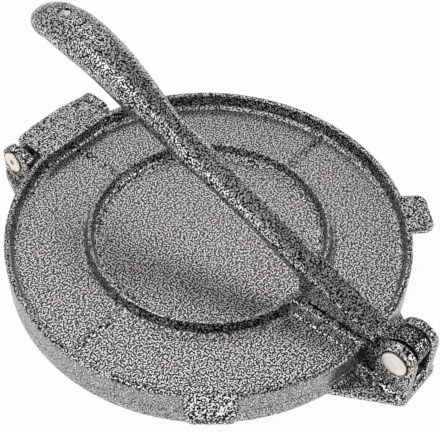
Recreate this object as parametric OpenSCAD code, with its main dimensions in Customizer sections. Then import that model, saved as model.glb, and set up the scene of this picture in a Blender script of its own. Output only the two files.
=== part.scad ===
// Hinged-plate tortilla press with a curved lever.
// +X is to the right, the lever clevis is at the front (-Y), the plate hinge at the rear (+Y).
// The origin is on the axis of the round plates, on the face the base stands on.

/* [Plates] */
// Diameter of the two round plates
plate_dia = 204; // [190:1:220]
// Thickness of the base disc
base_t = 8.7; // [7.5:0.1:10]
// Gap between the closed plates
seam = 0.2; // [0.1:0.05:0.5]
// Height of the upper plate, from its pressing face to its rim
upper_h = 12.1; // [11:0.1:14]
// Thickness of the floor of the upper plate
floor_t = 3.9; // [3:0.1:5]
// Width of the rim of the upper plate at its top
rim_w = 3.1; // [2.5:0.1:4.5]
// Rounding of the outer edges of the castings
edge_r = 1.5; // [0.5:0.1:1.5]

/* [Ribs on the upper plate] */
// Diameter of the ring rib, at its middle
ring_dia = 120.4; // [100:1:130]
// Width of the ring rib at its foot
ring_foot_w = 4.6; // [3:0.1:6]
// Width of the ring rib at its top
ring_top_w = 1.8; // [1.2:0.1:2.8]
// Height of the ring rib above the floor
ring_h = 7.2; // [5:0.1:7.4]
// Width of the low radial ribs
spoke_w = 2; // [1.5:0.1:4]
// Height of the low radial ribs above the floor
spoke_h = 1.3; // [1:0.1:4]

/* [Lifting tabs] */
// How far a tab reaches past the rim
tab_reach = 11.3; // [8:0.1:16]
// Width of a tab
tab_w = 24.5; // [18:0.5:32]
// Thickness of a tab
tab_t = 3.4; // [3:0.1:6]
// Corner radius of a tab
tab_corner_r = 5; // [2:0.5:8]
// Angle from the front to the right-hand tab
tab_right_angle = 45.8; // [35:0.5:60]
// Angle from the front to the left-hand tab
tab_left_angle = 49; // [35:0.5:60]

/* [Pressure pad] */
// Width of the pad that the lever presses on
pad_w = 22; // [20:0.5:30]
// Length of the solid land at the inner end of the pad
land_len = 20; // [16:0.5:20]
// Depth of the open notch in the rim, from the outer edge
notch_len = 11; // [8:0.5:11]
// Side clearance between the lever and the channel in the pad
channel_gap = 0.5; // [0.3:0.1:1.5]

/* [Plate hinge] */
// Distance from the edge of the plates back to the hinge axis
hinge_offset = 9.5; // [9.5:0.1:12]
// Height of the hinge axis
hinge_z = 15.5; // [15.3:0.1:16]
// Width of the knuckle on the upper plate
knuckle_w = 46; // [34:1:50]
// How far the middle of the knuckle stands to the right of the middle plane
knuckle_shift = 1.5; // [0:0.1:2]
// Outer radius of the knuckle
knuckle_r = 6.5; // [5.5:0.1:6.5]
// Side gap between the knuckle and the right-hand base ear
knuckle_gap = 0.5; // [0.5:0.1:2.5]
// Thickness of a base ear at the hinge
ear_t = 6.5; // [5.5:0.5:10]
// Distance from the hinge axis to the back of a base ear
ear_back = 8.8; // [7.5:0.1:9.5]
// Distance from the hinge axis to the front of a base ear
ear_front = 11; // [8:0.1:11.2]
// Distance from the hinge axis to the top of a base ear
ear_top = 6.4; // [6:0.1:9]
// Corner radius of a base ear
ear_corner_r = 6; // [3:0.5:6]
// How far the back edge of the knuckle stands past the hinge axis
knuckle_back = 9; // [8:0.1:10]
// Radius of the back edge of the knuckle in side view
knuckle_lip_r = 3; // [2:0.1:4]
// Angle below the hinge axis at which the barrel of the knuckle runs into its lip
knuckle_blend = 50; // [40:1:60]
// Diameter of the hinge pin
hinge_pin_dia = 6; // [5:0.5:7]

/* [Lever clevis] */
// Distance from the edge of the plates forward to the lever pivot
pivot_offset = 15.7; // [15.7:0.1:18]
// Height of the lever pivot
pivot_z = 23.9; // [23:0.1:25]
// Width of the lever hub
hub_w = 11.6; // [10:0.1:13]
// Radius of the lever hub
hub_r = 7.5; // [6.5:0.1:8]
// Side clearance of the hub in the clevis
hub_gap = 0.4; // [0.2:0.1:1]
// Thickness of a clevis cheek
cheek_t = 4.8; // [4:0.1:7]
// Radius of a clevis cheek
cheek_r = 9.5; // [8.5:0.1:10]
// Diameter of the lever pin
lever_pin_dia = 8; // [6:0.5:9]

/* [Rivet pins] */
// Diameter of a pin head
head_dia = 12.2; // [10:0.1:13]
// Height of a pin head
head_h = 1; // [0.6:0.1:1.5]
// Diameter of the upset end of a pin
upset_dia = 10; // [9.2:0.1:11]
// Radial clearance of a pin in the piece that holds it
pin_seat_gap = 0.03; // [0.02:0.01:0.05]
// Radial clearance of a pin in the piece that turns on it
pin_run_gap = 0.08; // [0.06:0.01:0.1]

/* [Lever] */
// Width of the neck and of the cam
neck_w = 14.6; // [13:0.1:15]
// Thickness of the neck
neck_t = 9.4; // [8:0.1:12]
// Clearance between the cam and the pad under it
cam_gap = 0.3; // [0.3:0.05:0.5]
// Distance from the inner end of the pad back to the toe of the cam
cam_toe = 4; // [2:0.5:6]
// Length of the flat of the cam
cam_len = 26; // [20:0.5:28]
// Distance from the pivot to the root end of the neck
root_dist = 13.7; // [12.5:0.1:14.5]
// Thickness of the root end of the neck
root_t = 1.9; // [1.5:0.1:2.5]
// Rise of the underside of the neck at the root end
root_relief = 1.5; // [1:0.1:1.6]
// Width of the waist between neck and grip
waist_w = 13.8; // [12:0.1:16]
// Width of the grip
grip_w = 25; // [20:0.1:30]
// Thickness of the grip
grip_t = 20; // [16:0.5:24]
// Length of the rounded end of the grip
tip_len = 17; // [12:0.5:20]
// Droop of the rounded end of the grip, in degrees
tip_droop = 20; // [0:1:25]
// Diameter of the hanging hole
hang_dia = 7; // [4:0.5:9]
// Distance from the start of the rounded end back to the hanging hole
hang_inset = 5; // [1:0.5:10]

/* [Base] */
// Thickness of the foot flanges
foot_t = 4; // [3:0.1:6]
// Half the width of the front foot where it leaves the disc
front_foot_w = 31; // [24:1:36]
// Width that the front foot has beyond each cheek at its front end
front_foot_side = 2.2; // [1:0.1:4]
// How far the front foot stands past the cheeks
front_foot_lip = 0.8; // [0:0.1:3]
// Half the width of the rear foot where it leaves the disc
rear_foot_w = 45.5; // [40:0.5:52]
// Depth of the recess in the underside
recess_depth = 3.2; // [2:0.1:4]
// Width of the bottom edge that the base stands on
skirt_w = 9; // [6:0.5:14]
// Width of the ribs in the recess
web_w = 6; // [4:0.5:10]
// Number of radial ribs in the recess
web_count = 6; // [4:1:12]
// Diameter of the centre pad in the recess
centre_dia = 44; // [30:1:60]

/* [Hidden] */
$fn = 96;
hammered = [0.56, 0.55, 0.55];
nickel = [0.86, 0.83, 0.79];
eps = 0.01;
plate_r = plate_dia / 2;
upper_z = base_t + seam;
floor_z = upper_z + floor_t;
rim_z = upper_z + upper_h;
ring_r = ring_dia / 2;
rim_draft = 1.1;
floor_fillet = 2.4;
hinge_y = plate_r + hinge_offset;
pivot_y = -plate_r - pivot_offset;
ear_in = knuckle_w / 2 + knuckle_shift + knuckle_gap;
ear_out = ear_in + ear_t;
cheek_in = hub_w / 2 + hub_gap;
cheek_out = cheek_in + cheek_t;
pad_in = -ring_r;
channel_w = neck_w + 2 * channel_gap;
land_end = pad_in - land_len;
notch_start = -plate_r + notch_len;
cam_z = rim_z + cam_gap;
cam_end = pad_in - cam_toe;
relief_start = cam_end - cam_len;
crown_in = 1.7;
crown_out = 2.3;
crown_drop = 0.3;
crown_rise = 1.2;
hub_lap = 1;
hub_crown = 0.3;
tongue_angle = 50;
tie_lap = 1;
pin_lap = 1;
tab_lap = 2;
over = 1;

// Points of an arc about c, from angle a to angle b in degrees
function arc(c, r, a, b, n = 8) = [for (i = [0:n]) c + r * [cos(a + (b - a) * i / n), sin(a + (b - a) * i / n)]];

// Extrudes an outline drawn in Y and Z along X, centred on X = 0
module along_x(width) {
    rotate([90, 0, 90]) linear_extrude(width, center = true) children();
}

// Cylinder along X, centred on X = 0
module rod_x(y, z, r, len) {
    translate([0, y, z]) rotate([0, 90, 0]) cylinder(r = r, h = len, center = true);
}

// The pair of pieces at the left and right of the middle plane
module both_sides() {
    children();
    mirror([1, 0, 0]) children();
}

// ---- Base ----

module base_disc() {
    rotate_extrude($fn = 180) polygon(concat(
        [[0, 0]],
        arc([plate_r - edge_r / 2, edge_r / 2], edge_r / 2, -90, 0, 4),
        arc([plate_r - edge_r / 2, base_t - edge_r / 2], edge_r / 2, 0, 90, 4),
        [[0, base_t]]));
}

module ring_wall(r_in, r_out, h) {
    difference() {
        cylinder(r = r_out, h = h, $fn = 180);
        translate([0, 0, -eps]) cylinder(r = r_in, h = h + 2 * eps, $fn = 180);
    }
}

// The ribs, centre pad and edge that stay at the level the base stands on
module underside_webs(h) {
    cylinder(d = centre_dia, h = h);
    ring_wall(ring_r - web_w / 2, ring_r + web_w / 2, h);
    for (i = [0:web_count - 1])
        rotate((i + 0.5) * 360 / web_count)
            translate([0, -web_w / 2, 0]) cube([plate_r - skirt_w / 2, web_w, h]);
}

module underside_recess() {
    difference() {
        translate([0, 0, -over]) cylinder(r = plate_r - skirt_w, h = recess_depth + over, $fn = 180);
        translate([0, 0, -over - eps]) underside_webs(recess_depth + over + 2 * eps);
    }
}

// Flat tongue that widens from the lever clevis to the disc
module front_foot() {
    front_y = pivot_y - cheek_r - front_foot_lip;
    side = cheek_out + front_foot_side;
    back_y = -sqrt(pow(plate_r, 2) - pow(front_foot_w, 2));
    linear_extrude(foot_t) polygon([
        [-front_foot_w, back_y + edge_r], [-side, front_y + edge_r / 2], [-side + edge_r, front_y],
        [side - edge_r, front_y], [side, front_y + edge_r / 2], [front_foot_w, back_y + edge_r]]);
}

// Flat tongue that widens from the hinge ears to the disc
module rear_foot() {
    rear_y = hinge_y + ear_back;
    back_y = sqrt(pow(plate_r, 2) - pow(rear_foot_w, 2));
    linear_extrude(foot_t) polygon([
        [-rear_foot_w, back_y - edge_r], [-ear_out - 2 * edge_r, rear_y - 3 * edge_r], [-ear_out, rear_y],
        [ear_out, rear_y], [ear_out + 2 * edge_r, rear_y - 3 * edge_r], [rear_foot_w, back_y - edge_r]]);
}

// Upright cheeks that carry the lever pin, with the low block that ties them to the disc
module clevis() {
    both_sides() translate([cheek_in + cheek_t / 2, 0, 0]) along_x(cheek_t) {
        translate([pivot_y, pivot_z]) circle(r = cheek_r);
        translate([pivot_y - cheek_r, 0]) square([2 * cheek_r, pivot_z]);
    }
    translate([-cheek_out - tie_lap, pivot_y + cheek_r / 2, 0])
        cube([2 * (cheek_out + tie_lap), pivot_offset, base_t - edge_r / 2]);
}

// Upright ears that carry the hinge pin
module hinge_ears() {
    both_sides() translate([ear_in + ear_t / 2, 0, 0]) along_x(ear_t) {
        polygon(concat(
            [[hinge_y - ear_front, 0]],
            arc([hinge_y - ear_front + ear_corner_r, hinge_z + ear_top - ear_corner_r], ear_corner_r, 180, 90),
            arc([hinge_y + ear_back - ear_corner_r, hinge_z + ear_top - ear_corner_r], ear_corner_r, 90, 0),
            [[hinge_y + ear_back, 0]]));
        translate([plate_r - 2 * ear_t, 0]) square([2 * ear_t, base_t - edge_r / 2]);
    }
}

module base() {
    color(hammered) difference() {
        union() {
            base_disc();
            front_foot();
            rear_foot();
            clevis();
            hinge_ears();
        }
        underside_recess();
        rod_x(pivot_y, pivot_z, lever_pin_dia / 2 + pin_seat_gap, 2 * (cheek_out + pin_lap));
        rod_x(hinge_y, hinge_z, hinge_pin_dia / 2 + pin_seat_gap, 2 * (ear_out + pin_lap));
    }
}

// ---- Upper plate ----

module plate_dish() {
    rim_in = plate_r - rim_w;
    foot_r = rim_in - rim_draft;
    rotate_extrude($fn = 180) polygon(concat(
        [[0, upper_z]],
        arc([plate_r - edge_r / 2, upper_z + edge_r / 2], edge_r / 2, -90, 0, 4),
        arc([plate_r - edge_r, rim_z - edge_r], edge_r, 0, 90),
        arc([rim_in + edge_r / 2, rim_z - edge_r / 2], edge_r / 2, 90, 180, 4),
        arc([foot_r - floor_fillet, floor_z + floor_fillet], floor_fillet, 0, -90, 4),
        [[0, floor_z]]));
}

module ring_rib() {
    rotate_extrude($fn = 180) polygon([
        [ring_r - ring_foot_w / 2, floor_z - eps], [ring_r + ring_foot_w / 2, floor_z - eps],
        [ring_r + ring_top_w / 2, floor_z + ring_h - ring_top_w / 3],
        [ring_r + ring_top_w / 6, floor_z + ring_h], [ring_r - ring_top_w / 6, floor_z + ring_h],
        [ring_r - ring_top_w / 2, floor_z + ring_h - ring_top_w / 3]]);
}

module spokes() {
    for (angle = [0, 90, 180])
        rotate(angle) translate([ring_r, -spoke_w / 2, floor_z - eps])
            cube([plate_r - rim_w - ring_r, spoke_w, spoke_h]);
}

module tab(angle) {
    inner = plate_r - rim_w / 2;
    outer = plate_r + tab_reach;
    corner = tab_w / 2 - tab_corner_r;
    rotate(angle) translate([0, 0, rim_z - tab_t]) linear_extrude(tab_t) union() {
        translate([inner - tab_lap, -tab_w / 2]) square([outer - inner + tab_lap - tab_corner_r, tab_w]);
        translate([inner, -corner]) square([outer - inner, 2 * corner]);
        for (side = [-1, 1]) translate([outer - tab_corner_r, side * corner]) circle(r = tab_corner_r);
    }
}

// The raised pad, cut to the round of the plate
module pressure_pad() {
    intersection() {
        translate([-pad_w / 2, -plate_r, upper_z + eps]) cube([pad_w, plate_r + pad_in, upper_h - eps]);
        cylinder(r = plate_r - edge_r / 2, h = rim_z, $fn = 180);
    }
}

// Room for the root of the lever while plate and lever move together
module lever_channel() {
    translate([-channel_w / 2, notch_start - eps, floor_z])
        cube([channel_w, land_end - notch_start + eps, upper_h]);
    translate([-channel_w / 2, -plate_r - over, upper_z - over])
        cube([channel_w, notch_len + over, upper_h + 2 * over]);
}

// Block flush with the rim: a barrel about the hinge axis, with a lip that follows the round of the plate
module knuckle() {
    back_r = hinge_y + knuckle_back;
    start = plate_r - 2 * rim_w;
    lip = [back_r - knuckle_lip_r, rim_z - knuckle_lip_r];
    intersection() {
        translate([knuckle_shift, 0, 0]) along_x(knuckle_w) {
            intersection() {
                translate([hinge_y, hinge_z]) circle(r = knuckle_r);
                translate([start, upper_z]) square([back_r - start, upper_h]);
            }
            translate([start, upper_z]) square([hinge_y - start, upper_h]);
            polygon(concat(
                [[hinge_y, rim_z], [hinge_y, hinge_z - knuckle_r]],
                arc([hinge_y, hinge_z], knuckle_r, -90, -knuckle_blend, 4),
                arc(lip, knuckle_lip_r, -knuckle_blend, 90, 8)));
        }
        cylinder(r = back_r, h = rim_z + over, $fn = 180);
    }
}

module top_plate() {
    color(hammered) difference() {
        union() {
            plate_dish();
            ring_rib();
            spokes();
            pressure_pad();
            tab(tab_right_angle - 90);
            tab(-90 - tab_left_angle);
            knuckle();
        }
        lever_channel();
        rod_x(hinge_y, hinge_z, hinge_pin_dia / 2 + pin_run_gap, 2 * ear_in);
    }
}

// ---- Lever ----

// Middle line of the lever: distance from the pivot, height above the pivot,
// half width, half thickness, squareness of the section (2 is an ellipse)
stations = [
    [54, 10.4, neck_w / 2 - 0.05, neck_t / 2, 5],
    [88, 25.4, neck_w / 2 + 0.3, neck_t / 2 + 0.2, 3.5],
    [113, 34.6, neck_w / 2 + 0.5, neck_t / 2 + 0.4, 2.8],
    [128, 39.6, (neck_w + waist_w) / 4 + 1.4, neck_t / 2 + 1.2, 2.6],
    [143, 45, waist_w / 2 + 0.2, neck_t / 2 + 2.9, 2.5],
    [163, 55.5, (waist_w + grip_w) / 4, grip_t / 2 - 0.5, 2.4],
    [183, 65.7, grip_w / 2 - 1, grip_t / 2, 2.2],
    [203, 71.4, grip_w / 2, grip_t / 2 - 0.4, 2.2],
    [216, 72.6, grip_w / 2 - 1.2, grip_t / 2 - 1.7, 2.2]];
steps = 4;
sides = 24;

// Catmull-Rom curve through b and c
function spline(a, b, c, d, t) =
    (2 * b + (c - a) * t + (2 * a - 5 * b + 4 * c - d) * t * t + (3 * b - a - 3 * c + d) * t * t * t) / 2;

last = len(stations) - 1;
function station(i) = stations[max(0, min(last, i))];
body_rings = [for (i = [0:last - 1]) for (k = [0:steps - 1])
    spline(station(i - 1), station(i), station(i + 1), station(i + 2), k / steps)];
tip = stations[last];
tip_angle = atan2(tip[1] - stations[last - 1][1], tip[0] - stations[last - 1][0]) - tip_droop;
tip_rings = [for (a = [0, 20, 38, 54, 68, 80])
    [tip[0] + tip_len * sin(a) * cos(tip_angle), tip[1] + tip_len * sin(a) * sin(tip_angle),
     tip[2] * cos(a), tip[3] * cos(a), tip[4]]];
rings = concat(body_rings, tip_rings);

function slope(i) = let (a = rings[max(0, i - 1)], b = rings[min(len(rings) - 1, i + 1)])
    atan2(b[1] - a[1], b[0] - a[0]);
function signed_pow(v, p) = sign(v) * pow(abs(v), p);
function section(i) = let (r = rings[i], up = slope(i), p = 2 / r[4]) [for (k = [0:sides - 1])
    let (a = 360 * k / sides, w = r[2] * signed_pow(cos(a), p), d = r[3] * signed_pow(sin(a), p))
    [w, pivot_y + r[0] - d * sin(up), pivot_z + r[1] + d * cos(up)]];

module neck_and_grip() {
    n = len(rings);
    polyhedron(
        points = [for (i = [0:n - 1]) each section(i)],
        faces = concat(
            [[for (k = [sides - 1:-1:0]) k]],
            [for (i = [0:n - 2]) for (k = [0:sides - 1]) let (a = i * sides + k, b = i * sides + (k + 1) % sides)
                each [[a, b, b + sides], [a, b + sides, a + sides]]],
            [[for (k = [0:sides - 1]) (n - 1) * sides + k]]));
}

// Deep wedge at the root, whose flat presses on the pad
module cam() {
    root_y = pivot_y + root_dist;
    root_bottom = cam_z + root_relief;
    neck_y = pivot_y + stations[0][0];
    neck_z = pivot_z + stations[0][1];
    along_x(neck_w) polygon([
        [root_y, root_bottom], [root_y, root_bottom + root_t],
        [neck_y - crown_in, neck_z + neck_t / 2 - crown_drop],
        [neck_y + crown_out, neck_z + neck_t / 2 + crown_rise],
        [pad_in, neck_z - neck_t / 2 + crown_rise], [cam_end, cam_z], [relief_start, cam_z]]);
}

// Tongue and hub that sit between the cheeks
module hub() {
    rod_x(pivot_y, pivot_z, hub_r, hub_w);
    root_y = pivot_y + root_dist;
    root_top = cam_z + root_relief + root_t;
    along_x(hub_w) polygon([
        [pivot_y, pivot_z - hub_r], [root_y + hub_lap, root_top - root_t],
        [root_y + hub_lap, root_top + hub_crown],
        [pivot_y + hub_r * cos(tongue_angle), pivot_z + hub_r * sin(tongue_angle)],
        [pivot_y, pivot_z]]);
}

module lever() {
    color(hammered) difference() {
        union() {
            neck_and_grip();
            cam();
            hub();
        }
        rod_x(pivot_y, pivot_z, lever_pin_dia / 2 + pin_run_gap, hub_w + 2 * pin_lap);
        translate([0, pivot_y + tip[0] - hang_inset, pivot_z + tip[1] - grip_t])
            cylinder(d = hang_dia, h = 2 * grip_t, $fn = 48);
    }
}

// ---- Pins ----

// Rivet along X: shank from -half to +half, formed head at -X, small upset end at +X
module rivet(y, z, dia, half) {
    crown = head_h / 2;
    translate([0, y, z]) rotate([0, 90, 0]) rotate_extrude() polygon([
        [0, -half - head_h], [head_dia / 2 - crown, -half - head_h], [head_dia / 2, -half - head_h + crown],
        [head_dia / 2, -half], [dia / 2, -half], [dia / 2, half],
        [upset_dia / 2, half], [upset_dia / 2 - crown, half + crown], [0, half + crown]]);
}

module lever_pin() {
    color(nickel) rivet(pivot_y, pivot_z, lever_pin_dia, cheek_out);
}

module hinge_pin() {
    color(nickel) rivet(hinge_y, hinge_z, hinge_pin_dia, ear_out);
}

base();
top_plate();
lever();
lever_pin();
hinge_pin();
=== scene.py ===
import math
import bmesh
import bpy
from mathutils import Matrix, Vector


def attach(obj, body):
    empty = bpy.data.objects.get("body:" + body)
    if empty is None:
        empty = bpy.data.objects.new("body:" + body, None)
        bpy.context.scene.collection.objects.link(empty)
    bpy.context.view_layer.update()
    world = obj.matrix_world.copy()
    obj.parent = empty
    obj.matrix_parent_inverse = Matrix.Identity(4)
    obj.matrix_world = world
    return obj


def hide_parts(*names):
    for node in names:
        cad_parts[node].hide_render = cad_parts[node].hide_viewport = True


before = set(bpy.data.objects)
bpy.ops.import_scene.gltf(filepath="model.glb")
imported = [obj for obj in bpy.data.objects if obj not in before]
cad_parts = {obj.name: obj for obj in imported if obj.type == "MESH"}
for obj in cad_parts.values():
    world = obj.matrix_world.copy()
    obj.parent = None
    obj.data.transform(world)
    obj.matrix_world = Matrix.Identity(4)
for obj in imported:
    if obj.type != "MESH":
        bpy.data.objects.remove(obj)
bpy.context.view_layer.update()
bpy.ops.object.select_all(action="DESELECT")

# ---- Sizes of the press, in metres ----

MM = 0.001
plate_radius = 102 * MM
base_thick = 8.7 * MM
recess_depth = 3.2 * MM
recess_rings = (93 * MM, 63.2 * MM, 57.2 * MM, 22 * MM)  # steps in the underside, from outside in
upper_foot = 8.9 * MM
floor_level = 12.8 * MM
rim_level = 21 * MM
rim_width = 3.1 * MM
rim_draft = 1.1 * MM  # how far the inner wall leans
ring_radius = 60.2 * MM
ring_foot = 4.6 * MM
ring_top = 1.8 * MM
ring_rise = 7.2 * MM
hinge_y, hinge_z = 111.5 * MM, 15.5 * MM
hinge_shank, hinge_head = 3 * MM, 5.7 * MM
pivot_y, pivot_z = -117.7 * MM, 23.9 * MM
lever_shank, lever_head = 4 * MM, 6.35 * MM
head_rise = 1 * MM
cheek_in, cheek_out = 6.2 * MM, 11.0 * MM
cheek_radius = 9.5 * MM
ear_in, ear_out = 25 * MM, 31.5 * MM
ear_top = 21.9 * MM
knuckle_left, knuckle_right = -21.5 * MM, 24.8 * MM
foot_thick = 4 * MM
foot_front, foot_back = -128 * MM, 120.3 * MM
knuckle_back = 120.5 * MM
tab_turns = (-44.2, -139)  # degrees about the middle of the press
hub_left, hub_right = -3.5 * MM, 5.95 * MM
hub_radius = 8.0 * MM
neck_half = 7.3 * MM
hole_y, hole_radius = 93.3 * MM, 3.5 * MM
snug, loose = 0.1 * MM, 0.3 * MM  # clearance round a pin
touch = 0.1 * MM  # what lies this near to a level is on it


# ---- Bench work: choosing, pushing and softening ----

def open_up(piece):
    """Goes to work on the mesh of one piece."""
    bpy.ops.object.select_all(action="DESELECT")
    piece.select_set(True)
    bpy.context.view_layer.objects.active = piece
    bpy.ops.object.mode_set(mode="EDIT")


def close_up():
    """Leaves the mesh."""
    bpy.ops.object.mode_set(mode="OBJECT")


def choose(kind, test):
    """Chooses the points, edges or faces whose middle, with their normal or run, passes the test."""
    bpy.ops.mesh.select_mode(type=kind)
    bpy.ops.mesh.select_all(action="DESELECT")
    mesh = bmesh.from_edit_mesh(bpy.context.edit_object.data)
    if kind == "VERT":
        for point in mesh.verts:
            point.select_set(test(point.co, point.normal))
    elif kind == "EDGE":
        for edge in mesh.edges:
            a, b = edge.verts
            edge.select_set(test((a.co + b.co) / 2, b.co - a.co))
    else:
        for face in mesh.faces:
            face.select_set(test(face.calc_center_median(), face.normal))
    mesh.select_flush_mode()
    bmesh.update_edit_mesh(bpy.context.edit_object.data)


def soften(test, radius, segments=4, profile=0.5):
    """Rounds the chosen edges."""
    choose("EDGE", test)
    bpy.ops.mesh.bevel(
        offset=radius, segments=segments, profile=profile, affect="EDGES", clamp_overlap=True)


def draw_out(x=0, y=0, z=0):
    """Extrudes what is chosen."""
    bpy.ops.mesh.extrude_region_move(TRANSFORM_OT_translate={"value": (x, y, z)})


def spread(x=1, y=1, z=1, about=(0, 0, 0)):
    """Scales what is chosen about a point."""
    bpy.ops.transform.resize(value=(x, y, z), center_override=about)


def ring_edges(level, radius):
    """A test for the edges that run round the plate at one level and radius."""
    def on_ring(middle, run):
        near = abs(middle.z - level) < touch and abs(middle.xy.length - radius) < touch
        return near and abs(run.z) < 0.05 * MM
    return on_ring


# ---- Blanks ----

def round_blank(name, radius, low, high, sides=160):
    """A disc about the middle of the press."""
    middle = (0, 0, (low + high) / 2)
    bpy.ops.mesh.primitive_cylinder_add(vertices=sides, radius=radius, depth=high - low, location=middle)
    piece = bpy.context.object
    piece.name = name
    bpy.ops.object.transform_apply(location=True, rotation=True, scale=True)
    return piece


def bar_across(name, y, z, radius, left, right, sides=64):
    """A round bar that lies across the press."""
    bpy.ops.mesh.primitive_cylinder_add(
        vertices=sides, radius=radius, depth=right - left,
        location=((left + right) / 2, y, z), rotation=(0, math.pi / 2, 0))
    piece = bpy.context.object
    piece.name = name
    bpy.ops.object.transform_apply(location=True, rotation=True, scale=True)
    return piece


def block(name, low, high, radius=0.0, segments=3):
    """A block between two corners, with all its edges rounded."""
    bpy.ops.mesh.primitive_cube_add(size=1, location=(Vector(low) + Vector(high)) / 2)
    piece = bpy.context.object
    piece.name = name
    piece.scale = Vector(high) - Vector(low)
    bpy.ops.object.transform_apply(location=True, rotation=True, scale=True)
    if radius:
        open_up(piece)
        soften(lambda middle, run: True, radius, segments)
        close_up()
    return piece


def cut_plate(name, corners, x=0, z=0):
    """A plate cut to a ring of corners and drawn out to its thickness."""
    bpy.ops.mesh.primitive_circle_add(vertices=len(corners), radius=10 * MM, fill_type="NGON")
    piece = bpy.context.object
    piece.name = name
    open_up(piece)
    mesh = bmesh.from_edit_mesh(piece.data)
    for point, corner in zip(mesh.verts, corners):
        point.co = corner
    bmesh.update_edit_mesh(piece.data)
    bpy.ops.mesh.select_all(action="SELECT")
    draw_out(x=x, z=z)
    bpy.ops.mesh.select_all(action="SELECT")
    bpy.ops.mesh.normals_make_consistent(inside=False)
    close_up()
    return piece


def plate_across(name, outline, left, right):
    """A plate cut to an outline of (y, z) places in millimetres, as thick as from left to right."""
    return cut_plate(name, [(left, y * MM, z * MM) for y, z in outline], x=right - left)


def plate_flat(name, outline, low, high):
    """A plate cut to an outline of (x, y) places in millimetres, lying flat from low to high."""
    return cut_plate(name, [(x * MM, y * MM, low) for x, y in outline], z=high - low)


# ---- Cutting, turning and casting ----

def apply_modifier(piece, modifier):
    """Applies one modifier of a piece."""
    bpy.ops.object.select_all(action="DESELECT")
    piece.select_set(True)
    bpy.context.view_layer.objects.active = piece
    bpy.ops.object.modifier_apply(modifier=modifier.name)


def trim(piece, tool, way="DIFFERENCE"):
    """Cuts a tool out of a piece, or with INTERSECT keeps only what lies in the tool."""
    cut = piece.modifiers.new("cut", "BOOLEAN")
    cut.operation = way
    cut.solver = "EXACT"
    cut.object = tool
    apply_modifier(piece, cut)
    bpy.data.objects.remove(tool)


def drill(piece, y, z, radius):
    """Drills a piece right through from side to side."""
    trim(piece, bar_across("drill", y, z, radius, -60 * MM, 60 * MM))


def twin(piece, turn):
    """A copy of a piece with its own mesh, put in place by a matrix."""
    other = piece.copy()
    other.data = piece.data.copy()
    bpy.context.scene.collection.objects.link(other)
    other.data.transform(turn)
    if turn.determinant() < 0:
        other.data.flip_normals()
    return other


def mirrored(piece):
    """The same piece on the other side of the press."""
    return twin(piece, Matrix.Scale(-1, 4, (1, 0, 0)))


def turned(piece, degrees):
    """The same piece further round the middle of the press."""
    return twin(piece, Matrix.Rotation(math.radians(degrees), 4, "Z"))


def cast(name, parts, grain, smooth_rounds, share):
    """Melts the parts into one casting of a given grain, runs it smooth and keeps a share of its faces."""
    bpy.ops.object.select_all(action="DESELECT")
    for part in parts:
        part.select_set(True)
    bpy.context.view_layer.objects.active = parts[0]
    bpy.ops.object.join()
    casting = bpy.context.object
    casting.name = name
    melt = casting.modifiers.new("melt", "REMESH")
    melt.mode = "VOXEL"
    melt.voxel_size = grain * 1
    apply_modifier(casting, melt)
    fair = casting.modifiers.new("fair", "SMOOTH")
    fair.factor = 0.5
    fair.iterations = smooth_rounds
    apply_modifier(casting, fair)
    thin = casting.modifiers.new("thin", "DECIMATE")
    thin.ratio = share
    apply_modifier(casting, thin)
    bpy.ops.object.select_all(action="DESELECT")
    casting.select_set(True)
    bpy.context.view_layer.objects.active = casting
    bpy.ops.object.shade_smooth()
    return casting


# ---- Base casting ----

def base_disc():
    """The lower disc, with the ring-shaped recesses in its underside."""
    disc = round_blank("base_disc", plate_radius, 0, base_thick)
    open_up(disc)
    choose("FACE", lambda middle, normal: normal.z < -0.9)
    reach, rise = plate_radius, recess_depth
    for radius in recess_rings:
        bpy.ops.mesh.inset(thickness=reach - radius)
        draw_out(z=rise)
        reach, rise = radius, -rise
    soften(ring_edges(0, plate_radius), 0.8 * MM)
    soften(ring_edges(base_thick, plate_radius), 0.3 * MM)
    close_up()
    return disc


def underside_ribs():
    """Six radial ribs in the recess."""
    rib = block("underside_rib", (-3 * MM, 18 * MM, 0), (3 * MM, 95 * MM, 4 * MM), 0.6 * MM, 2)
    return [rib] + [turned(rib, 60 * n) for n in range(1, 6)]


def flat_foot(name, outline):
    """A flat tongue on the worktop, with its upper edge rounded."""
    foot = plate_flat(name, outline, 0, foot_thick)
    open_up(foot)
    soften(lambda middle, run: middle.z > foot_thick - touch, 1.0 * MM, 3)
    close_up()
    return foot


def feet():
    """The tongue under the clevis and the one under the hinge."""
    front, back = foot_front / MM, foot_back / MM
    front_foot = flat_foot("front_foot", [
        (-34.2, -90), (-13.2, front + 0.8), (-11.7, front),
        (11.7, front), (13.2, front + 0.8), (34.2, -90)])
    rear_foot = flat_foot("rear_foot", [
        (-47.1, 86), (47.1, 86), (34.5, back - 4.5),
        (31.5, back), (-31.5, back), (-34.5, back - 4.5)])
    return [front_foot, rear_foot]


def cheek():
    """The right-hand cheek: a round-topped plate with a bore for the lever pin."""
    plate = bar_across("cheek", pivot_y, pivot_z, cheek_radius, cheek_in, cheek_out, 72)
    open_up(plate)
    bpy.ops.mesh.select_all(action="SELECT")
    bpy.ops.mesh.bisect(plane_co=(0, 0, pivot_z), plane_no=(0, 0, 1), use_fill=True, clear_inner=True)
    draw_out(z=-pivot_z)
    soften(lambda middle, run: middle.x > cheek_out - touch and middle.z > touch, 1.8 * MM, 5)
    soften(lambda middle, run: middle.x < cheek_in + touch and middle.z > touch, 0.8 * MM, 3)
    close_up()
    drill(plate, pivot_y, pivot_z, lever_shank + snug)
    return plate


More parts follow.
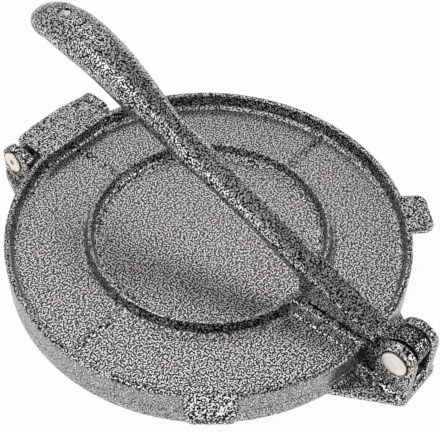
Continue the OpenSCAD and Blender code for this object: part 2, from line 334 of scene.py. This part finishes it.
def foot_fillet():
    """The hollow fillet along the outer foot of the right-hand cheek."""
    lap, leg = 0.5 * MM, 3.2 * MM
    low = (cheek_out - lap, pivot_y - cheek_radius, foot_thick - lap)
    high = (cheek_out + leg, -100 * MM, foot_thick + leg)
    strip = block("foot_fillet", low, high)
    open_up(strip)
    soften(lambda middle, run: middle.x > high[0] - touch and middle.z > high[2] - touch,
           leg, 6, 0.12)
    close_up()
    return strip


def clevis():
    """Two cheeks on a low block, tied to the disc."""
    right_cheek = cheek()
    right_fillet = foot_fillet()
    side = [(-12.7, -96), (-12.6, -105.8), (-13.2, -108.2), (-14.7, -110.6), (-16.6, -112), (-16, -113.4)]
    tie_top = 8.1 * MM
    tie = plate_flat("clevis_tie", side + [(-x, y) for x, y in reversed(side)], 0, tie_top)
    open_up(tie)
    soften(lambda middle, run: middle.z > tie_top - touch, 1.0 * MM, 3)
    close_up()
    saddle_front = pivot_y - cheek_radius + 1.5 * MM
    saddle = block("clevis_saddle", (-8 * MM, saddle_front, 0), (8 * MM, -108 * MM, 6.5 * MM))
    return [right_cheek, mirrored(right_cheek), right_fillet, mirrored(right_fillet), tie, saddle]


def hinge_ears():
    """Two upright ears with a bore for the hinge pin, each on a low toe."""
    ear = block("ear", (ear_in, 100.5 * MM, 0), (ear_out, foot_back, ear_top))
    open_up(ear)
    soften(lambda middle, run: middle.z > ear_top - touch and abs(run.x) > 1 * MM, 6 * MM, 10)
    soften(lambda middle, run: middle.x > ear_out - touch and middle.z > touch, 1.2 * MM, 4)
    soften(lambda middle, run: middle.x < ear_in + touch and middle.z > touch, 0.3 * MM, 2)
    close_up()
    drill(ear, hinge_y, hinge_z, hinge_shank + snug)
    toe = block("ear_toe", (ear_in, 90 * MM, 0), (ear_out, 103 * MM, 8 * MM), 0.6 * MM)
    return [ear, mirrored(ear), toe, mirrored(toe)]


def file_flat(piece, low, high, axis, level):
    """Files all that lies between two corners flat, across one axis at one level."""
    open_up(piece)
    choose("VERT", lambda place, normal: all(a < b < c for a, b, c in zip(low, place, high)))
    about, scale = [0, 0, 0], [1, 1, 1]
    about[axis], scale[axis] = level, 0
    spread(*scale, about)
    bpy.ops.mesh.select_all(action="SELECT")
    bpy.ops.mesh.remove_doubles(threshold=0.03 * MM)
    close_up()


def base_casting():
    """The whole base in one casting, its right ear filed sharp where the knuckle meets it."""
    parts = [base_disc()] + underside_ribs() + feet() + clevis() + hinge_ears()
    casting = cast("base_casting", parts, 0.62 * MM, 3, 0.38)
    left, over = ear_in - 0.5 * MM, ear_top + 1 * MM
    file_flat(casting, (left, 104 * MM, ear_top - 1 * MM), (ear_in + 0.6 * MM, 117 * MM, over), 2, ear_top)
    file_flat(casting, (left, 101 * MM, 12 * MM), (ear_in + 0.3 * MM, 120 * MM, over), 0, ear_in)
    return casting


# ---- Upper plate casting ----

def dish():
    """The upper plate, turned from a disc: rim, floor and ring rib."""
    plate = round_blank("dish", plate_radius, upper_foot, rim_level)
    open_up(plate)
    choose("FACE", lambda middle, normal: normal.z > 0.9)
    rim_in = plate_radius - rim_width
    rim_foot = rim_in - rim_draft
    bpy.ops.mesh.inset(thickness=rim_width)
    draw_out(z=floor_level - rim_level)
    spread(rim_foot / rim_in, rim_foot / rim_in)
    ring_out, ring_in = ring_radius + ring_foot / 2, ring_radius - ring_foot / 2
    crest_out, crest_in = ring_radius + ring_top / 2, ring_radius - ring_top / 2
    crest_level = floor_level + ring_rise
    bpy.ops.mesh.inset(thickness=rim_foot - ring_out)
    draw_out(z=ring_rise)
    spread(crest_out / ring_out, crest_out / ring_out)
    bpy.ops.mesh.inset(thickness=ring_top)
    draw_out(z=-ring_rise)
    spread(ring_in / crest_in, ring_in / crest_in)
    rounded = [
        (rim_level, plate_radius, 1.5, 5), (upper_foot, plate_radius, 0.3, 3), (rim_level, rim_in, 0.7, 3),
        (floor_level, rim_foot, 2.4, 6), (floor_level, ring_out, 2.0, 5), (floor_level, ring_in, 3.2, 6),
        (crest_level, crest_out, 0.6, 3), (crest_level, crest_in, 0.6, 3)]
    for level, radius, fillet, segments in rounded:
        soften(ring_edges(level, radius), fillet * MM, segments)
    close_up()
    return plate


def low_ribs():
    """Three low radial ribs between the ring and the rim."""
    top = floor_level + 1.3 * MM
    rib = block("low_rib", (ring_radius, -1 * MM, floor_level - 1 * MM), (99 * MM, 1 * MM, top))
    open_up(rib)
    soften(lambda middle, run: middle.z > top - touch, 0.6 * MM, 3)
    close_up()
    return [rib, turned(rib, 90), turned(rib, 180)]


def lifting_tabs():
    """Two tabs at the edge of the plate to lift it by."""
    half, tip = 12.25 * MM, 113.3 * MM
    tab = block("tab", (99 * MM, -half, rim_level - 3.4 * MM), (tip, half, rim_level))
    open_up(tab)
    soften(lambda middle, run: middle.x > tip - 0.3 * MM and abs(run.z) > 1 * MM, 5 * MM, 8)
    soften(lambda middle, run: abs(run.z) < touch, 0.8 * MM, 3)
    close_up()
    tabs = [turned(tab, turn) for turn in tab_turns]
    bpy.data.objects.remove(tab)
    return tabs


def pressure_pad():
    """The raised pad that the lever bears on."""
    pad = block("pad", (-11 * MM, -100.5 * MM, 10 * MM), (11 * MM, -ring_radius, rim_level))
    open_up(pad)
    soften(lambda middle, run: middle.z > rim_level - touch, 0.8 * MM, 3)
    close_up()
    return pad


def cut_lever_channel(piece):
    """Cuts the room for the lever root out of the pad or the dish."""
    half = 7.8 * MM
    trim(piece, block("channel", (-half, -91.1 * MM, floor_level), (half, -80.2 * MM, 30 * MM)))
    trim(piece, block("notch", (-half, -110 * MM, 0), (half, -91 * MM, 30 * MM)))


def knuckle():
    """The hinge knuckle, flush with the rim, its back edge following the round of the plate."""
    under = 10.5 * MM
    lip = block("knuckle", (knuckle_left, 96 * MM, under), (knuckle_right, knuckle_back, rim_level))
    open_up(lip)
    soften(lambda middle, run: middle.y > knuckle_back - touch and abs(run.z) > 1 * MM, 3 * MM, 6)
    soften(lambda middle, run: middle.y > 116 * MM and middle.z < under + touch, 6.5 * MM, 8)
    soften(lambda middle, run: middle.z > rim_level - touch and middle.y > 98 * MM
           and middle.x <= knuckle_right - touch, 1.0 * MM, 4)
    close_up()
    trim(lip, round_blank("round", knuckle_back, 0, 40 * MM, 360), "INTERSECT")
    barrel = bar_across("barrel", hinge_y, hinge_z, 5.4 * MM, knuckle_left, knuckle_right)
    for piece in (lip, barrel):
        drill(piece, hinge_y, hinge_z, hinge_shank + loose)
    return [lip, barrel]


def upper_casting():
    """The whole upper plate in one casting, its knuckle filed sharp where it meets the ear."""
    plate, pad = dish(), pressure_pad()
    cut_lever_channel(plate)
    cut_lever_channel(pad)
    parts = [plate, pad] + low_ribs() + lifting_tabs() + knuckle()
    casting = cast("upper_plate_casting", parts, 0.6 * MM, 2, 0.36)
    right, over = knuckle_right + 0.5 * MM, rim_level + 1 * MM
    file_flat(casting, (knuckle_right - 1 * MM, 102 * MM, rim_level - 1 * MM),
              (right, 119 * MM, over), 2, rim_level)
    file_flat(casting, (knuckle_right - 0.3 * MM, 100 * MM, 0), (right, 121 * MM, over), 0, knuckle_right)
    return casting


# ---- Lever casting ----

# Middle line of the lever: distance from the pivot, height above it, half width,
# half thickness and squareness of the section (2 is an ellipse), in millimetres
lever_stations = [
    (54, 10.4, 7.25, 4.7, 2.8), (88, 25.4, 7.6, 4.9, 2.4), (113, 34.6, 7.8, 5.1, 2.3),
    (128, 39.6, 8.5, 5.9, 2.3), (143, 45, 7.1, 7.6, 2.3), (163, 55.5, 9.7, 9.5, 2.3),
    (183, 65.7, 11.5, 10, 2.2), (203, 71.4, 12.5, 9.6, 2.2), (216, 72.6, 11.3, 8.3, 2.2)]


def through(a, b, c, d, share):
    """A point of the smooth curve from b to c."""
    return [
        (2 * q + (r - p) * share + (2 * p - 5 * q + 4 * r - s) * share ** 2
         + (3 * q - p - 3 * r + s) * share ** 3) / 2
        for p, q, r, s in zip(a, b, c, d)]


def lever_sections():
    """The sections of the lever from neck to tip, with the rounded end."""
    steps, tip_reach, tip_droop = 6, 17, math.radians(20)
    tip, before = lever_stations[-1], lever_stations[-2]
    stations = [lever_stations[0]] + lever_stations + [tip]
    rings = [
        through(*stations[n:n + 4], k / steps)
        for n in range(len(lever_stations) - 1) for k in range(steps)]
    angle = math.atan2(tip[1] - before[1], tip[0] - before[0]) - tip_droop
    for turn in (0, 12, 24, 36, 48, 60, 70, 80, 86):
        far, near = tip_reach * math.sin(math.radians(turn)), math.cos(math.radians(turn))
        rings.append([tip[0] + far * math.cos(angle), tip[1] + far * math.sin(angle),
                      tip[2] * near, tip[3] * near, tip[4]])
    return rings


def squared(size, turn_part, power):
    """How far a section reaches: the size times a sine or cosine, squared up by a power."""
    return size * math.copysign(abs(turn_part) ** power, turn_part)


def neck_and_grip(sides=40):
    """The curved arm: a ring drawn out from section to section."""
    rings = lever_sections()
    bpy.ops.mesh.primitive_circle_add(vertices=sides, radius=7 * MM, fill_type="NGON")
    arm = bpy.context.object
    arm.name = "arm"
    open_up(arm)
    mesh = bmesh.from_edit_mesh(arm.data)
    place = mesh.verts.layers.int.new("place")
    for k, point in enumerate(mesh.verts):
        point[place] = k
    bmesh.update_edit_mesh(arm.data)
    bpy.ops.mesh.select_all(action="SELECT")
    for n, ring in enumerate(rings):
        before, after = rings[max(0, n - 1)], rings[min(len(rings) - 1, n + 1)]
        rise = math.atan2(after[1] - before[1], after[0] - before[0])
        if n:
            draw_out(y=1 * MM)
        mesh = bmesh.from_edit_mesh(arm.data)
        place = mesh.verts.layers.int["place"]
        far, high, half_width, half_thick, squareness = ring
        for point in mesh.verts:
            if point.select:
                turn = 2 * math.pi * point[place] / sides
                wide = squared(half_width, math.cos(turn), 2 / squareness)
                tall = squared(half_thick, math.sin(turn), 2 / squareness)
                point.co = (wide * MM, pivot_y + (far - tall * math.sin(rise)) * MM,
                            pivot_z + (high + tall * math.cos(rise)) * MM)
        bmesh.update_edit_mesh(arm.data)
    bpy.ops.mesh.select_all(action="SELECT")
    bpy.ops.mesh.normals_make_consistent(inside=False)
    close_up()
    bpy.ops.mesh.primitive_cylinder_add(
        vertices=48, radius=hole_radius, depth=400 * MM, location=(0, hole_y, 0))
    trim(arm, bpy.context.object)
    return arm


def cam():
    """The deep wedge at the root, whose flat bears on the pad."""
    outline = [
        (-104, 22.8), (-104, 24.7), (-65.4, 38.7), (-61.4, 40.2),
        (-60.2, 30.8), (-64.2, 21.4), (-90.2, 21.4)]
    wedge = plate_across("cam", outline, -neck_half, neck_half)

    def on_side(middle):
        return abs(abs(middle.x) - neck_half) < touch

    open_up(wedge)
    soften(lambda middle, run: on_side(middle) and middle.z > 31 * MM and middle.y < -62 * MM, 3.6 * MM, 6)
    soften(lambda middle, run: on_side(middle) and 21.5 * MM < middle.z < 31 * MM, 0.8 * MM, 3)
    close_up()
    return wedge


def hub():
    """The hub and tongue between the cheeks."""
    drum = bar_across("hub", pivot_y, pivot_z, hub_radius, hub_left, hub_right)
    outline = [(-117.7, 16.4), (-103, 22.8), (-103, 25.0), (-112.88, 29.65), (-117.7, 23.9)]
    tongue = plate_across("tongue", outline, hub_left, hub_right)
    for piece in (drum, tongue):
        drill(piece, pivot_y, pivot_z, lever_shank + loose)
    return [drum, tongue]


def lever_casting():
    """The whole lever in one casting."""
    parts = [neck_and_grip(), cam()] + hub()
    return cast("lever_casting", parts, 0.5 * MM, 4, 0.45)


# ---- Rivet pins ----

def rivet(name, y, z, shank, half, head, dimple=False):
    """A pin with a formed head at the left and an upset end at the right."""
    pin = bar_across(name, y, z, shank, -half, half, 72)
    axis = (0, y, z)
    upset, swell, hair = 5 * MM, 0.5 * MM, 0.001 * MM
    open_up(pin)
    choose("FACE", lambda middle, normal: normal.x < -0.9)
    draw_out(x=-hair)
    spread(1, head / shank, head / shank, axis)
    draw_out(x=-head_rise)
    bpy.ops.mesh.inset(thickness=1.6 * MM)
    bpy.ops.mesh.inset(thickness=1.6 * MM)
    draw_out(x=-0.1 * hair)
    if dimple:
        bpy.ops.mesh.inset(thickness=1.1 * MM)
        draw_out(x=0.8 * MM)
        spread(1, 0.55, 0.55, axis)
    choose("FACE", lambda middle, normal: normal.x > 0.9 and middle.x > half - 0.01 * MM)
    draw_out(x=hair)
    spread(1, upset / shank, upset / shank, axis)
    draw_out(x=swell)
    for level, reach, radius in ((-half - head_rise, head, 0.25 * MM), (half + swell, upset, 0.3 * MM)):
        soften(lambda middle, run: abs(middle.x - level) < 0.02 * MM
               and abs(math.hypot(middle.y - y, middle.z - z) - reach) < touch, radius, 4)
    close_up()
    bpy.ops.object.shade_smooth_by_angle(angle=math.radians(40))
    return pin


# ---- Finishes: the nodes they are made of ----

def new_finish(name):
    """An empty node material, its tree and its shader."""
    finish = bpy.data.materials.new(name)
    finish.use_nodes = True
    tree = finish.node_tree
    tree.nodes.clear()
    shader = tree.nodes.new("ShaderNodeBsdfPrincipled")
    output = tree.nodes.new("ShaderNodeOutputMaterial")
    tree.links.new(shader.outputs["BSDF"], output.inputs["Surface"])
    return finish, tree, shader


def feed(tree, socket, value):
    """Gives a socket a number, a colour or what another node puts out."""
    if isinstance(value, tuple):
        socket.default_value = (*value, 1)
    elif isinstance(value, (int, float)):
        socket.default_value = value
    else:
        tree.links.new(value, socket)


def reckon(tree, way, first, second=0):
    """Reckons one value, kept between 0 and 1, from one or two others."""
    sum_node = tree.nodes.new("ShaderNodeMath")
    sum_node.operation = way
    sum_node.use_clamp = True
    feed(tree, sum_node.inputs[0], first)
    feed(tree, sum_node.inputs[1], second)
    return sum_node.outputs["Value"]


def ramp(tree, value, stops):
    """Turns a value into the colours or greys of a ramp."""
    node = tree.nodes.new("ShaderNodeValToRGB")
    while len(node.color_ramp.elements) < len(stops):
        node.color_ramp.elements.new(0.5)
    for element, (place, shade) in zip(node.color_ramp.elements, stops):
        colour = shade if isinstance(shade, tuple) else (shade, shade, shade)
        element.position = place
        element.color = (*colour, 1)
    tree.links.new(value, node.inputs["Fac"])
    return node.outputs["Color"]


def noise(tree, place, scale, detail):
    """A noise that sits still on the piece."""
    node = tree.nodes.new("ShaderNodeTexNoise")
    node.inputs["Scale"].default_value = scale
    node.inputs["Detail"].default_value = detail
    tree.links.new(place.outputs["Object"], node.inputs["Vector"])
    return node.outputs["Fac"]


def mix(tree, factor, under, over, kind="RGBA"):
    """Lays one colour over another by a factor, or with FLOAT one value over another."""
    node = tree.nodes.new("ShaderNodeMix")
    node.data_type = kind
    tree.links.new(factor, node.inputs["Factor"])
    feed(tree, node.inputs["A"], under)
    feed(tree, node.inputs["B"], over)
    return node.outputs["Result"]


def one_axis(tree, vector, axis):
    """One of the three numbers of a place or a direction."""
    node = tree.nodes.new("ShaderNodeSeparateXYZ")
    tree.links.new(vector, node.inputs["Vector"])
    return node.outputs[axis]


def along(tree, vector, direction):
    """How far a direction goes along another one."""
    node = tree.nodes.new("ShaderNodeVectorMath")
    node.operation = "DOT_PRODUCT"
    node.inputs[1].default_value = direction
    tree.links.new(vector, node.inputs[0])
    return node.outputs["Value"]


def within_reach(tree, place, middle, radius, axes=(1, 1, 1)):
    """1 within a radius of a point, measured along the given axes only, and 0 elsewhere."""
    offset = tree.nodes.new("ShaderNodeVectorMath")
    offset.operation = "MULTIPLY_ADD"
    offset.inputs[1].default_value = axes
    offset.inputs[2].default_value = [-at * share for at, share in zip(middle, axes)]
    tree.links.new(place.outputs["Object"], offset.inputs[0])
    reach = tree.nodes.new("ShaderNodeVectorMath")
    reach.operation = "LENGTH"
    tree.links.new(offset.outputs["Vector"], reach.inputs[0])
    return reckon(tree, "LESS_THAN", reach.outputs["Value"], radius)


def from_above(tree, place, x, y, radius):
    """1 inside a round area seen from above, and 0 elsewhere."""
    return within_reach(tree, place, (x, y, 0), radius, (1, 1, 0))


def from_the_side(tree, place, y, z, radius):
    """1 inside a round area seen from the side, and 0 elsewhere."""
    return within_reach(tree, place, (0, y, z), radius, (0, 1, 1))


def bump(tree, height, strength, distance, under=None):
    """Raises the surface by a height, on top of another bump if one is given."""
    node = tree.nodes.new("ShaderNodeBump")
    node.inputs["Strength"].default_value = strength
    node.inputs["Distance"].default_value = distance
    tree.links.new(height, node.inputs["Height"])
    if under:
        tree.links.new(under, node.inputs["Normal"])
    return node.outputs["Normal"]


# ---- Finishes: enamel and nickel ----

vein_black = (0.010, 0.009, 0.0085)
cool_silver = (0.85, 0.84, 0.845)
warm_silver = (0.86, 0.835, 0.815)
bare_metal = (0.95, 0.95, 0.94)
# The colour the rivet shanks are painted, as the shade in the gaps they lie in.
shank_shade = (0.12, 0.11, 0.10)
dimple_brown = (0.36, 0.29, 0.21)
rim_wall_in, rim_wall_out = 100 * MM, 103.5 * MM


def plate_walls(tree, place):
    """The outer walls and front faces, the inner walls, and the hollow edges of the dish."""
    facing = place.outputs["Normal"]
    up = one_axis(tree, facing, "Z")
    upright = ramp(tree, reckon(tree, "MULTIPLY", up, up), [(0.18, 1), (0.24, 0)])
    in_dish = from_above(tree, place, 0, 0, rim_wall_in)
    in_disc = from_above(tree, place, 0, 0, rim_wall_out)
    by_pad = from_above(tree, place, 0, -82 * MM, 23 * MM)
    by_knuckle = from_above(tree, place, -4 * MM, 100 * MM, 36 * MM)
    outer = reckon(tree, "SUBTRACT", reckon(tree, "MULTIPLY", upright, in_disc), in_dish)
    front = reckon(tree, "LESS_THAN", one_axis(tree, facing, "Y"), -0.8)
    outer = reckon(tree, "ADD", outer, reckon(tree, "SUBTRACT", front, in_disc))
    inner = reckon(tree, "SUBTRACT", reckon(tree, "MULTIPLY", upright, in_dish), by_pad)
    edge = tree.nodes.new("ShaderNodeNewGeometry")
    # Pointiness picks out the hollow edges of the dish, which get a painted highlight.
    hollow = ramp(tree, edge.outputs["Pointiness"], [(0.474, 0.7), (0.488, 0)])
    hollow = reckon(tree, "MULTIPLY", hollow, in_dish)
    for area in (by_pad, by_knuckle):
        hollow = reckon(tree, "SUBTRACT", hollow, area)
    return outer, inner, hollow


def dimmed(tree, pattern, area, share):
    """The pattern with fewer flecks in an area."""
    return reckon(tree, "SUBTRACT", pattern, reckon(tree, "MULTIPLY", area, share))


def hammered_enamel(name, flecks_per_metre, plate=False, bore=None, painted_shades=()):
    """Hammered enamel: dark veins between curled flecks of silver.

    On a plate the flecks are finer on the outer walls and a few fewer there, as slight painted shade;
    fewer on the inner walls, as painted shade; and they fill the hollow edges, as a painted highlight.
    A bore is bare low down. Each painted shade is a round area: how it is looked at, its middle, its
    radius, the unshaded radius inside it and the share that it dims the flecks by.
    """
    finish, tree, shader = new_finish(name)
    place = tree.nodes.new("ShaderNodeTexCoord")
    pattern = noise(tree, place, flecks_per_metre, 0)
    cloud = noise(tree, place, 70, 2)
    if plate:
        outer, inner, hollow = plate_walls(tree, place)
        # The outer walls and front faces get finer flecks, and a few fewer of them as slight painted
        # shade.
        pattern = mix(tree, outer, pattern, noise(tree, place, flecks_per_metre * 1.9, 0), "FLOAT")
        pattern = dimmed(tree, pattern, outer, 0.008)
        # The inner walls of the dish get fewer flecks: painted shade.
        pattern = dimmed(tree, pattern, inner, 0.055)
    # Each round area gets fewer flecks: it is painted darker as shade.
    for round_area, first, second, radius, unshaded_radius, share in painted_shades:
        shaded = round_area(tree, place, first, second, radius)
        unshaded = round_area(tree, place, first, second, unshaded_radius)
        pattern = dimmed(tree, pattern, reckon(tree, "SUBTRACT", shaded, unshaded), share)

    edge = tree.nodes.new("ShaderNodeNewGeometry")
    flecks = ramp(tree, pattern, [(0.525, 0), (0.535, 0.5), (0.545, 1)])
    # Convex edges get more silver: partly thinner paint on the edges, partly a painted highlight.
    edge_rub_and_sheen = ramp(tree, edge.outputs["Pointiness"], [(0.525, 0), (0.57, 0.5)])
    silver = reckon(tree, "ADD", flecks, edge_rub_and_sheen)
    # The hollow edges are filled with silver as a painted highlight.
    if plate:
        silver = reckon(tree, "ADD", silver, hollow)
    colour = mix(tree, silver, vein_black, mix(tree, cloud, cool_silver, warm_silver))
    metallic = ramp(tree, pattern, [(0.46, 0.85), (0.54, 0.98)])
    roughness = ramp(tree, pattern, [(0.42, 0.34), (0.58, 0.24)])
    roughness = reckon(tree, "ADD", roughness, reckon(tree, "MULTIPLY", cloud, 0.06))
    if bore:
        height = one_axis(tree, place.outputs["Object"], "Z")
        bare = from_above(tree, place, *bore)
        bare = reckon(tree, "MULTIPLY", bare, reckon(tree, "LESS_THAN", height, 102.8 * MM))
        colour = mix(tree, bare, colour, bare_metal)
        metallic = reckon(tree, "ADD", metallic, bare)
        roughness = reckon(tree, "SUBTRACT", roughness, bare)

    swelling = bump(tree, noise(tree, place, 210, 1), 0.12, 0.6 * MM)
    tree.links.new(colour, shader.inputs["Base Color"])
    tree.links.new(metallic, shader.inputs["Metallic"])
    tree.links.new(roughness, shader.inputs["Roughness"])
    tree.links.new(bump(tree, pattern, 0.3, 0.15 * MM, swelling), shader.inputs["Normal"])
    shader.inputs["Coat Weight"].default_value = 0.1
    shader.inputs["Coat Roughness"].default_value = 0.2
    return finish


def nickel_plate(name, inner, dimple=None):
    """Bright warm nickel on the heads, and the shank between them painted dark as shade."""
    finish, tree, shader = new_finish(name)
    place = tree.nodes.new("ShaderNodeTexCoord")
    cloud = noise(tree, place, 260, 3)
    colour = ramp(tree, cloud, [(0.3, (0.83, 0.775, 0.72)), (0.7, (0.95, 0.895, 0.84))])
    from_middle = reckon(tree, "ABSOLUTE", one_axis(tree, place.outputs["Object"], "X"))
    # The shank between the heads is painted dark as shade.
    colour = mix(tree, reckon(tree, "LESS_THAN", from_middle, inner), colour, shank_shade)
    if dimple:
        colour = mix(tree, within_reach(tree, place, *dimple), colour, dimple_brown)
    tree.links.new(colour, shader.inputs["Base Color"])
    shader.inputs["Metallic"].default_value = 0.8
    shader.inputs["Roughness"].default_value = 0.25
    return finish


# ---- Camera, floor and lights ----

def set_camera():
    """The camera, from its place and its three axes."""
    data = bpy.data.cameras.new("camera")
    data.lens = 81.82
    data.sensor_width = 36
    data.clip_start = 0.05
    data.clip_end = 20
    camera = bpy.data.objects.new("camera", data)
    bpy.context.scene.collection.objects.link(camera)
    right = Vector((0.64648, -0.76265, 0.02072))
    up = Vector((0.55179, 0.48615, 0.67764))
    back = Vector((-0.52687, -0.42665, 0.73511))
    axes = Matrix((right, up, back)).transposed().to_4x4()
    camera.matrix_world = Matrix.Translation((-0.25865, -0.21609, 0.39241)) @ axes
    bpy.context.scene.camera = camera


def lay_floor():
    """A plain white floor that keeps the shadow, and that the metal sees as white too."""
    bpy.ops.mesh.primitive_plane_add(size=6, location=(0, 0, 0))
    floor = bpy.context.object
    floor.name = "floor"
    finish, tree, shader = new_finish("floor_white")
    shader.inputs["Base Color"].default_value = (0.92, 0.92, 0.92, 1)
    shader.inputs["Roughness"].default_value = 0.9
    white = tree.nodes.new("ShaderNodeEmission")
    white.inputs["Strength"].default_value = 1.0
    rays = tree.nodes.new("ShaderNodeLightPath")
    seen = reckon(tree, "MAXIMUM", rays.outputs["Is Camera Ray"], rays.outputs["Is Glossy Ray"])
    seen = reckon(tree, "MAXIMUM", seen, rays.outputs["Is Transmission Ray"])
    lit = tree.nodes.new("ShaderNodeMixShader")
    tree.links.new(reckon(tree, "MULTIPLY", seen, 0.95), lit.inputs["Fac"])
    tree.links.new(shader.outputs["BSDF"], lit.inputs[1])
    tree.links.new(white.outputs["Emission"], lit.inputs[2])
    tree.links.new(lit.outputs["Shader"], tree.nodes["Material Output"].inputs["Surface"])
    floor.data.materials.append(finish)


def hang_lamp(name, direction, distance, size, power, middle=(0, 0, 20 * MM)):
    """A square soft lamp that points at the press, out of the camera's sight."""
    data = bpy.data.lights.new(name, "AREA")
    data.shape = "SQUARE"
    data.size = size
    data.energy = power
    lamp = bpy.data.objects.new(name, data)
    bpy.context.scene.collection.objects.link(lamp)
    lamp.visible_camera = False
    lamp.location = Vector(middle) + Vector(direction).normalized() * distance
    lamp.rotation_euler = (Vector(middle) - lamp.location).to_track_quat("-Z", "Y").to_euler()


def hang_lamps():
    """A wide soft lamp behind the press, a small one close to the grip and one at the front."""
    hang_lamp("key_lamp", (0.42, 0.40, 0.95), distance=1.3, size=0.9, power=1.3)
    hang_lamp("grip_lamp", (-0.74, -0.14, 0.64), distance=0.32, size=0.28, power=0.16,
              middle=(0, 72 * MM, 90 * MM))
    hang_lamp("front_lamp", (0.40, -0.75, 0.45), distance=1.3, size=0.5, power=1.3)


def paint_room():
    """A grey room, paler behind the press on the left, with a white band low at the front right."""
    world = bpy.data.worlds.new("room")
    bpy.context.scene.world = world
    world.use_nodes = True
    tree = world.node_tree
    toward = tree.nodes.new("ShaderNodeTexCoord").outputs["Generated"]
    to_back_left = reckon(tree, "ADD", along(tree, toward, (-0.305, 0.395, 0)), 0.5)
    shade = ramp(tree, to_back_left, [(0.1, 0.20), (0.28, 0.34), (0.45, 0.54), (0.9, 0.64)])
    low_down = ramp(tree, one_axis(tree, toward, "Z"), [(0.30, 1), (0.50, 0)])
    front_right = ramp(tree, along(tree, toward, (0.87, -0.5, 0)), [(0.2, 0), (0.6, 1)])
    window = reckon(tree, "MULTIPLY", low_down, front_right)
    room = mix(tree, window, shade, (0.95, 0.95, 0.95))
    tree.links.new(room, tree.nodes["Background"].inputs["Color"])
    tree.nodes["Background"].inputs["Strength"].default_value = 1.0


# ---- The press ----

def put_on(piece, finish, body, node):
    """Finishes a piece and puts it on its body in place of its node."""
    piece.data.materials.clear()
    piece.data.materials.append(finish)
    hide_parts(node)
    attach(piece, body)


# Rings round the two rivet heads on the base are painted darker, as the shade in the gap beside each head.
base_enamel = hammered_enamel("base_enamel", 1250, plate=True, painted_shades=(
    (from_the_side, pivot_y, pivot_z, lever_head + 0.85 * MM, lever_head, 0.3),
    (from_the_side, hinge_y, hinge_z, hinge_head + 0.7 * MM, hinge_head, 0.3)))
plate_enamel = hammered_enamel("plate_enamel", 1250, plate=True)
# The lever's hub and tongue, within 13 mm of the pivot seen from above, are painted darker as shade.
lever_enamel = hammered_enamel(
    "lever_enamel", 1350, bore=(0, hole_y, hole_radius + 0.1 * MM),
    painted_shades=((from_above, 0, pivot_y, 13 * MM, 0, 0.09),))
hinge_dimple = ((-ear_out - head_rise, hinge_y, hinge_z), 1.5 * MM)
lever_nickel = nickel_plate("lever_pin_nickel", cheek_in)
hinge_nickel = nickel_plate("hinge_pin_nickel", ear_in, hinge_dimple)

put_on(base_casting(), base_enamel, "base", "base")
put_on(upper_casting(), plate_enamel, "top_plate", "top_plate")
put_on(lever_casting(), lever_enamel, "lever", "lever")
lever_rivet = rivet("lever_rivet", pivot_y, pivot_z, lever_shank, cheek_out, lever_head)
hinge_rivet = rivet("hinge_rivet", hinge_y, hinge_z, hinge_shank, ear_out, hinge_head, dimple=True)
put_on(lever_rivet, lever_nickel, "base", "lever_pin")
put_on(hinge_rivet, hinge_nickel, "base", "hinge_pin")

set_camera()
lay_floor()
hang_lamps()
paint_room()
bpy.context.scene.view_settings.view_transform = "Standard"
